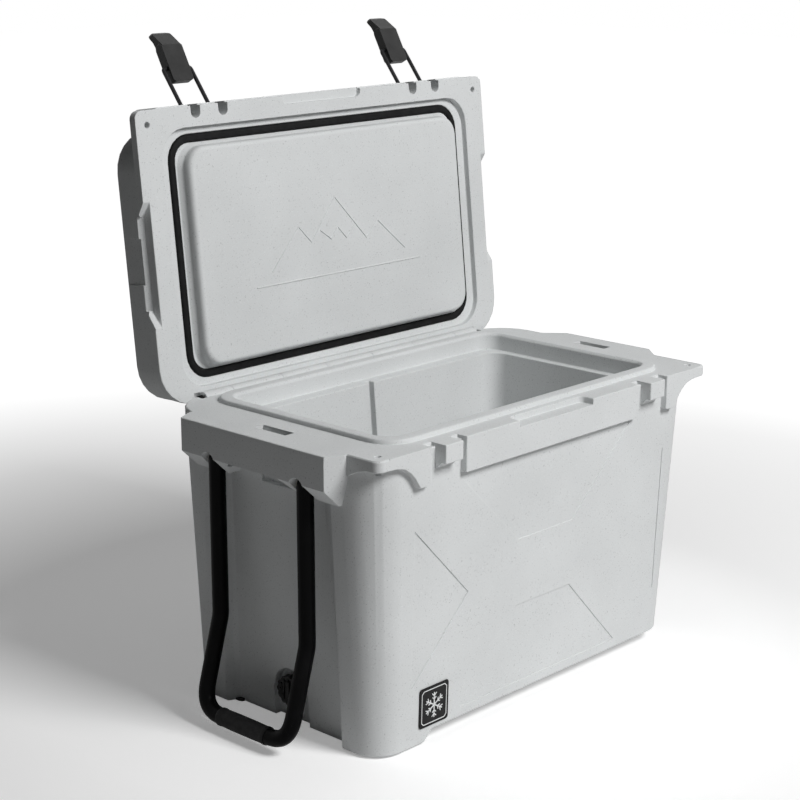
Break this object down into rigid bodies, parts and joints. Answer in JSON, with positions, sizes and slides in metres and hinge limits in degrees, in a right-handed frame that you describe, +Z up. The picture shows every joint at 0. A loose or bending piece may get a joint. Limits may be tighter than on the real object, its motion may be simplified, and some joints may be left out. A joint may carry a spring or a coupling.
{
  "type": "wheeled cooler",
  "caption": "Foam-filled moulded cooler with an open hinged lid, gasket, wire-and-lever latches, swinging tube handle, drain plug and wheels under one end.",
  "frame": {"origin": "middle of the bottom of the whole cooler's bounding box as pictured, lid open, on the ground", "axes": "+X towards the wheel end, -X towards the tow handle, -Y the front with the latches, +Y the hinge side, +Z up"},
  "size_m": [0.8586, 0.6198, 0.9901],
  "materials": {
    "moulding": "pale grey rotomoulded polyethylene with fine dark specks",
    "foam": "rigid polyurethane foam",
    "badge": "smooth black plate",
    "pad_rubber": "matt black",
    "gasket_rubber": "matt black, freezer style seal",
    "latch_plastic": "satin black, lightly grained",
    "black_plastic": "satin black",
    "grip_rubber": "matt black",
    "coated_wire": "black powder coat on spring wire",
    "coated_tube": "black powder coat on aluminium tube",
    "steel": "zinc plated",
    "nylon": "natural nylon",
    "tyre": "solid black rubber"
  },
  "bodies": {
    "body": {"body_shell": "moulding", "body_foam": "foam", "body_fill_plug": "moulding", "badge_plate": "badge", "foot_pad_front": "pad_rubber", "foot_pad_rear": "pad_rubber", "hinge_rod": "steel", "hinge_rod_cap_left": "black_plastic", "hinge_rod_cap_right": "black_plastic", "handle_pivot_pin_front": "steel", "handle_pivot_pin_rear": "steel", "wheel_axle": "steel", "axle_washer_front": "steel", "axle_washer_rear": "steel", "axle_cap_front": "steel", "axle_cap_rear": "steel", "axle_clamp_front": "black_plastic", "axle_clamp_rear": "black_plastic", "clamp_screw_1": "steel", "clamp_screw_2": "steel", "clamp_screw_3": "steel", "clamp_screw_4": "steel", "drain_tube": "black_plastic", "drain_inner_nut": "black_plastic"},
    "lid": {"lid_shell": "moulding", "lid_foam": "foam", "lid_fill_plug": "moulding", "lid_gasket": "gasket_rubber"},
    "latch_bail_left": {"latch_bail_left": "coated_wire"},
    "latch_bail_right": {"latch_bail_right": "coated_wire"},
    "latch_lever_left": {"latch_lever_left": "latch_plastic"},
    "latch_lever_right": {"latch_lever_right": "latch_plastic"},
    "tow_handle": {"tow_handle_tube": "coated_tube", "handle_grip": "grip_rubber", "handle_bushing_front": "nylon", "handle_bushing_rear": "nylon"},
    "wheel_front": {"wheel_tyre_front": "tyre", "wheel_hub_front": "black_plastic"},
    "wheel_rear": {"wheel_tyre_rear": "tyre", "wheel_hub_rear": "black_plastic"},
    "drain_seal": {"drain_seal": "gasket_rubber"},
    "drain_plug": {"drain_plug": "black_plastic"}
  },
  "joints": [
    {"name": "lid_hinge", "type": "hinge", "parent": "body", "child": "lid", "pos_m": [0.01975, 0.14094, 0.452], "axis": [1, 0, 0], "range_deg": [0, 95.9]},
    {"name": "latch_bail_hinge_left", "type": "hinge", "parent": "lid", "child": "latch_bail_left", "pos_m": [-0.21885, 0.21465, 0.87345], "axis": [1, 0, 0], "range_deg": [0, 97.8]},
    {"name": "latch_lever_hinge_left", "type": "hinge", "parent": "latch_bail_left", "child": "latch_lever_left", "pos_m": [-0.21885, 0.26625, 0.93974], "axis": [-1, 0, 0], "range_deg": [0, 92.6]},
    {"name": "latch_bail_hinge_right", "type": "hinge", "parent": "lid", "child": "latch_bail_right", "pos_m": [0.25835, 0.21465, 0.87345], "axis": [1, 0, 0], "range_deg": [0, 97.8]},
    {"name": "latch_lever_hinge_right", "type": "hinge", "parent": "latch_bail_right", "child": "latch_lever_right", "pos_m": [0.25835, 0.26625, 0.93974], "axis": [-1, 0, 0], "range_deg": [0, 92.6]},
    {"name": "tow_handle_hinge", "type": "hinge", "parent": "body", "child": "tow_handle", "pos_m": [-0.37575, -0.07836, 0.402], "axis": [0, 1, 0], "range_deg": [0, 90]},
    {"name": "wheel_spin_front", "type": "hinge", "parent": "body", "child": "wheel_front", "pos_m": [0.31575, -0.19336, 0.046], "axis": [0, 1, 0], "continuous": true},
    {"name": "wheel_spin_rear", "type": "hinge", "parent": "body", "child": "wheel_rear", "pos_m": [0.31575, 0.03664, 0.046], "axis": [0, 1, 0], "continuous": true},
    {"name": "drain_plug_slide", "type": "slide", "parent": "body", "child": "drain_seal", "axis": [-1, 0, 0], "range_m": [0, 0.012]},
    {"name": "drain_plug_turn", "type": "hinge", "parent": "drain_seal", "child": "drain_plug", "pos_m": [-0.31325, -0.07836, 0.051], "axis": [-1, 0, 0], "range_deg": [0, 1081]}
  ],
  "couplings": [
    {"joint": "drain_plug_turn", "follows": "drain_plug_slide", "rad_per_m": 1570.8}
  ]
}
